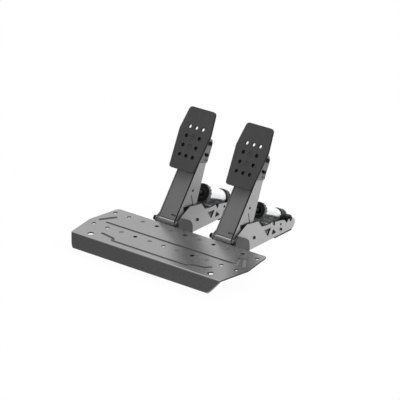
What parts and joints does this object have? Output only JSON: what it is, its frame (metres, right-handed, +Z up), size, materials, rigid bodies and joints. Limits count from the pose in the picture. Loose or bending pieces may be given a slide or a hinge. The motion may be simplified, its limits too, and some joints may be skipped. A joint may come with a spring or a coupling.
{
  "type": "sim racing pedal set",
  "caption": "Floor pedal set for driving games: folded heel plate, brake and throttle arms with tilted pads, sprung cylinders on side-plate frames.",
  "frame": {"origin": "on the floor, in the middle of the set's outline", "axes": "+X to the throttle's side, +Y from the heel edge to the rear, +Z up"},
  "size_m": [0.3896, 0.3636, 0.2342],
  "materials": {
    "plate_paint": "satin powder coat",
    "arm_paint": "satin powder coat",
    "module_paint": "satin grey coat",
    "dark_paint": "matt black coat",
    "pad_paint": "fine textured coat",
    "black_anodised": "black anodised",
    "black_screws": "black oxide",
    "tube_silver": "bright turned",
    "rod_steel": "polished",
    "plain_steel": "brushed",
    "bronze": "sintered",
    "cover_plastic": "fine matt",
    "board": "lacquered",
    "foot_rubber": "matt",
    "elastomer": "matt",
    "stop_rubber": "matt",
    "plate_screw_coat": "coated like the plate"
  },
  "bodies": {
    "frame": {"heel_plate": "plate_paint", "heel_plate_legs": "dark_paint", "heel_plate_feet": "foot_rubber", "plate_screws": "plate_screw_coat", "plate_nuts": "plain_steel", "brake_right_side_plate": "module_paint", "brake_left_side_plate": "module_paint", "brake_base_plate": "module_paint", "brake_feet": "foot_rubber", "brake_cross_ties": "black_screws", "brake_pivot_bushes": "bronze", "brake_rear_pin": "black_screws", "brake_sensor_cover": "cover_plastic", "brake_sensor_board": "board", "brake_signal_socket": "cover_plastic", "throttle_right_side_plate": "module_paint", "throttle_left_side_plate": "module_paint", "throttle_base_plate": "module_paint", "throttle_feet": "foot_rubber", "throttle_cross_ties": "black_screws", "throttle_pivot_bushes": "bronze", "throttle_rear_pin": "black_screws", "throttle_sensor_cover": "cover_plastic", "throttle_sensor_board": "board", "throttle_signal_socket": "cover_plastic"},
    "brake_pedal": {"brake_arm": "arm_paint", "brake_stop_block": "stop_rubber", "brake_pivot_sleeve": "module_paint", "brake_pivot_shaft": "black_screws", "brake_magnet": "plain_steel", "brake_pad_bracket": "arm_paint", "brake_bracket_screws": "black_screws", "brake_pad": "pad_paint", "brake_pad_screws": "black_screws", "brake_rod_pin": "black_screws"},
    "brake_push_rod": {"brake_rod": "rod_steel", "brake_piston": "plain_steel"},
    "brake_cylinder": {"brake_cylinder_tube": "tube_silver", "brake_front_gland": "black_anodised", "brake_rear_cap": "black_anodised", "brake_elastomers": "elastomer"},
    "brake_collar": {"brake_preload_collar": "black_anodised"},
    "throttle_pedal": {"throttle_arm": "arm_paint", "throttle_stop_block": "stop_rubber", "throttle_pivot_sleeve": "module_paint", "throttle_pivot_shaft": "black_screws", "throttle_magnet": "plain_steel", "throttle_pad_bracket": "arm_paint", "throttle_bracket_screws": "black_screws", "throttle_pad": "pad_paint", "throttle_pad_screws": "black_screws", "throttle_rod_pin": "black_screws"},
    "throttle_push_rod": {"throttle_rod": "rod_steel", "throttle_piston": "plain_steel"},
    "throttle_cylinder": {"throttle_cylinder_tube": "tube_silver", "throttle_front_gland": "black_anodised", "throttle_rear_cap": "black_anodised", "throttle_spring": "plain_steel"},
    "throttle_collar": {"throttle_preload_collar": "black_anodised"}
  },
  "joints": [
    {"name": "brake_press", "type": "hinge", "parent": "frame", "child": "brake_pedal", "pos_m": [-0.07, -0.00825, 0.0338], "axis": [-1, 0, 0], "range_deg": [0, 10], "stiffness_Nm_per_rad": 250, "springref_deg": -1.15, "deforming": ["brake_elastomers"]},
    {"name": "brake_rod_swing", "type": "hinge", "parent": "brake_pedal", "child": "brake_push_rod", "pos_m": [-0.07, 0.04195, 0.088], "axis": [1, 0, 0], "range_deg": [0, 12]},
    {"name": "brake_cylinder_swing", "type": "hinge", "parent": "frame", "child": "brake_cylinder", "pos_m": [-0.07, 0.16845, 0.0235], "axis": [1, 0, 0], "range_deg": [0, 2]},
    {"name": "brake_preload_turn", "type": "hinge", "parent": "brake_cylinder", "child": "brake_collar", "pos_m": [-0.07, 0.04195, 0.088], "axis": [0, 0.8908, -0.4545], "range_deg": [-180, 180]},
    {"name": "throttle_press", "type": "hinge", "parent": "frame", "child": "throttle_pedal", "pos_m": [0.07, -0.00825, 0.0338], "axis": [-1, 0, 0], "range_deg": [0, 20], "stiffness_Nm_per_rad": 15, "springref_deg": -11.46, "deforming": ["throttle_spring"]},
    {"name": "throttle_rod_swing", "type": "hinge", "parent": "throttle_pedal", "child": "throttle_push_rod", "pos_m": [0.07, 0.04195, 0.088], "axis": [1, 0, 0], "range_deg": [0, 25]},
    {"name": "throttle_cylinder_swing", "type": "hinge", "parent": "frame", "child": "throttle_cylinder", "pos_m": [0.07, 0.16845, 0.0235], "axis": [1, 0, 0], "range_deg": [0, 5]},
    {"name": "throttle_preload_turn", "type": "hinge", "parent": "throttle_cylinder", "child": "throttle_collar", "pos_m": [0.07, 0.04195, 0.088], "axis": [0, 0.8908, -0.4545], "range_deg": [-180, 180]}
  ],
  "couplings": [
    {"joint": "brake_rod_swing", "follows": "brake_press", "ratio": 1.191},
    {"joint": "brake_cylinder_swing", "follows": "brake_press", "ratio": 0.191},
    {"joint": "throttle_rod_swing", "follows": "throttle_press", "ratio": 1.244},
    {"joint": "throttle_cylinder_swing", "follows": "throttle_press", "ratio": 0.244}
  ]
}
